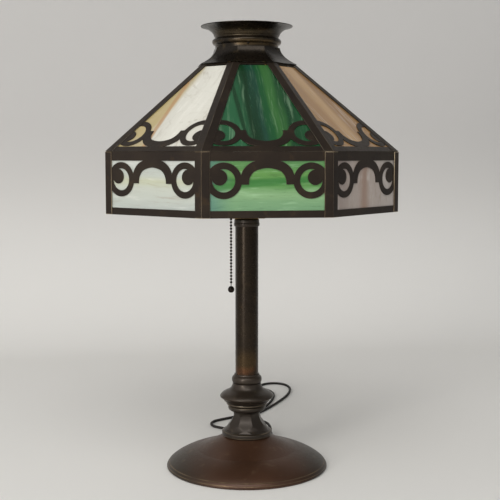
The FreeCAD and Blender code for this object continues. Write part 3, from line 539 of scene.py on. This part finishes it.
# The braid's crossings along the whole cord and its strands around it.
BRAID_CROSSINGS = 620
BRAID_STRANDS = 4


def coil_points():
    """Turns wound one beside and on another, from the coil's left side to its right."""
    points = []
    reach = 1 / math.cos(math.pi / COIL_STEPS)
    angle = math.pi
    radius, height = COIL_TURNS[0][1:]
    for turns, next_radius, next_height in COIL_TURNS:
        for step in range(round(turns * COIL_STEPS)):
            ease = min(1.0, (step + 1) / EASING_STEPS)
            r = radius + (next_radius - radius) * ease
            z = height + (next_height - height) * ease
            points.append((COIL_CENTRE[0] + r * reach * math.cos(angle),
                           COIL_CENTRE[1] + r * reach * math.sin(angle), z))
            angle += 2 * math.pi / COIL_STEPS
        radius, height = next_radius, next_height
    return points


def braid(name):
    """Rayon braid over rubber: two sets of strands crossing on the cord's surface."""
    paint = Paint(name)
    u, v, _ = paint.split(paint.node("ShaderNodeTexCoord").outputs["UV"])
    along = paint.math("MULTIPLY", u, 2 * math.pi * BRAID_CROSSINGS)
    around = paint.math("MULTIPLY", v, 2 * math.pi * BRAID_STRANDS)
    crossing = [paint.math("SINE", paint.math(way, along, around)) for way in ("ADD", "SUBTRACT")]
    height = paint.math("MAXIMUM", *crossing)
    drift = paint.noise(60, detail=3)
    colour = paint.mix(paint.fade(drift, 0.35, 0.7), "1d1713", "3a2c22")
    # Painted shade: darker down in the grooves between the crossings.
    colour = paint.mix(paint.fade(height, 0.1, 1.0, 0, 0.5), "0f0c0a", colour)
    return paint.surface(Base_Color=colour, Roughness=0.75, Normal=paint.bump(height, 0.0002))


def make_cord():
    """The free cord, its coil and its tail as one smooth line."""
    curve = bpy.data.curves.new("power_cord_line", "CURVE")
    curve.dimensions = "3D"
    curve.resolution_u = 6
    curve.bevel_depth = CORD_RADIUS
    curve.bevel_resolution = 3
    curve.use_fill_caps = True
    line = curve.splines.new("NURBS")
    points = [Vector(p) * MM for p in CORD_ROUTE + coil_points() + TAIL_ROUTE]
    line.points.add(len(points) - 1)
    for point, place in zip(line.points, points):
        point.co = (*place, 1.0)
    line.order_u = 3
    line.use_endpoint_u = True
    cord = bpy.data.objects.new("cord", curve)
    bpy.context.scene.collection.objects.link(cord)
    curve.materials.append(braid("cord_braid"))
    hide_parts("power_cord", "cord_coil", "cord_tail")
    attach(cord, "stand")


make_cord()


# ------------------------------------------------------------------ stage, light and camera

def stage():
    """Pale floor that sweeps up into a pale wall behind the lamp.

    It is seen only from inside, and is open where the base covers it, so that some light
    reaches the felt.
    """
    front_y, wall_y, wall_top, half_width, bend = -4.5, 1.1, 3.0, 4.0, 0.35
    open_radius = 0.1
    sweep = arc((wall_y - bend, bend), bend, -90, 0, 12)
    profile = [(front_y, 0.0), *sweep, (wall_y, wall_top)]
    vertices = [(x, y, z) for y, z in profile for x in (-half_width, half_width)]
    faces = [(i, i + 1, i + 3, i + 2) for i in range(0, len(vertices) - 2, 2)]
    mesh = bpy.data.meshes.new("backdrop")
    mesh.from_pydata(vertices, [], faces)
    for face in mesh.polygons:
        face.use_smooth = True
    backdrop = bpy.data.objects.new("backdrop", mesh)
    bpy.context.scene.collection.objects.link(backdrop)
    paint = Paint("pale_backdrop")
    x, y, height = paint.split(paint.place)
    # Painted shade: the sweep turns greyer from the floor up the wall.
    colour = paint.mix(paint.fade(height, 0.0, 0.5), "e3e1dc", "c2c0bd")
    paint.surface(Base_Color=colour, Roughness=0.85)
    from_axis = paint.math("SQRT", paint.math("ADD", paint.math("MULTIPLY", x, x),
                                              paint.math("MULTIPLY", y, y)))
    under_base = paint.math("LESS_THAN", from_axis, open_radius)
    behind = paint.node("ShaderNodeNewGeometry").outputs["Backfacing"]
    one_sided = paint.node("ShaderNodeMixShader")
    paint.feed(one_sided.inputs[0], paint.math("MAXIMUM", behind, under_base))
    paint.tree.links.new(paint.shader.outputs[0], one_sided.inputs[1])
    paint.tree.links.new(paint.node("ShaderNodeBsdfTransparent").outputs[0], one_sided.inputs[2])
    paint.tree.links.new(one_sided.outputs[0], paint.tree.nodes["Material Output"].inputs[0])
    mesh.materials.append(paint.material)


def area_light(name, place, target, size, power, colour=(1, 1, 1)):
    """Rectangular light that faces a target and that the camera doesn't see."""
    data = bpy.data.lights.new(name, "AREA")
    data.shape = "RECTANGLE"
    data.size, data.size_y = size
    data.energy = power
    data.color = colour
    lamp = bpy.data.objects.new(name, data)
    lamp.location = place
    lamp.rotation_mode = "QUATERNION"
    lamp.rotation_quaternion = (Vector(target) - Vector(place)).to_track_quat("-Z", "Y")
    lamp.visible_camera = False
    bpy.context.scene.collection.objects.link(lamp)


def room():
    """Soft room light: bright from the upper left front, dim elsewhere, pale to look at."""
    world = bpy.data.worlds.new("soft_room")
    world.use_nodes = True
    tree = world.node_tree
    bright_side = (-0.8, -0.58, 0.16)
    seen_strength = 0.6
    way = add_node(tree, "ShaderNodeTexCoord")
    towards = add_node(tree, "ShaderNodeVectorMath", operation="DOT_PRODUCT")
    towards.inputs[1].default_value = bright_side
    tree.links.new(way.outputs["Generated"], towards.inputs[0])
    swell = add_node(tree, "ShaderNodeMapRange", interpolation_type="SMOOTHSTEP")
    for name, value in (("From Min", -0.2), ("From Max", 0.95), ("To Min", 0.19), ("To Max", 0.82)):
        swell.inputs[name].default_value = value
    tree.links.new(towards.outputs["Value"], swell.inputs["Value"])
    seen = add_node(tree, "ShaderNodeLightPath")
    choice = add_node(tree, "ShaderNodeMix", data_type="FLOAT")
    choice.inputs["B"].default_value = seen_strength
    tree.links.new(seen.outputs["Is Camera Ray"], choice.inputs["Factor"])
    tree.links.new(swell.outputs["Result"], choice.inputs["A"])
    background = tree.nodes["Background"]
    background.inputs["Color"].default_value = (0.98, 0.985, 1.0, 1.0)
    tree.links.new(choice.outputs["Result"], background.inputs["Strength"])
    bpy.context.scene.world = world


def light():
    """A tall window at the left, a broad light above it, and weak ones to the other sides."""
    middle = (0, 0, 0.3)
    area_light("window", (-1.5, -1.75, 0.75), middle, (0.55, 1.5), 22, (1.0, 0.98, 0.95))
    area_light("fill", (1.8, -1.4, 1.3), middle, (1.6, 1.6), 3, (0.96, 0.98, 1.0))
    area_light("ceiling", (-0.3, -1.7, 2.1), middle, (1.8, 1.2), 24)
    area_light("back", (0.9, 1.9, 1.3), middle, (1.4, 1.4), 6)
    area_light("under", (0.2, -0.3, -1.2), (0, 0, 0), (1.4, 1.4), 6)
    room()


def camera():
    """Camera level with the shade's eaves, left of the lamp's front, looking a little down."""
    to_the_right, down = math.radians(7.72), math.radians(5.35)
    data = bpy.data.cameras.new("view")
    data.sensor_width = 36
    data.lens = 73.4
    eye = bpy.data.objects.new("view", data)
    eye.location = (-0.1741, -1.3157, 0.4118)
    gaze = Vector((math.sin(to_the_right) * math.cos(down),
                   math.cos(to_the_right) * math.cos(down), -math.sin(down)))
    eye.rotation_mode = "QUATERNION"
    eye.rotation_quaternion = gaze.to_track_quat("-Z", "Y")
    bpy.context.scene.collection.objects.link(eye)
    bpy.context.scene.camera = eye


stage()
light()
camera()
bpy.context.scene.view_settings.view_transform = "Standard"
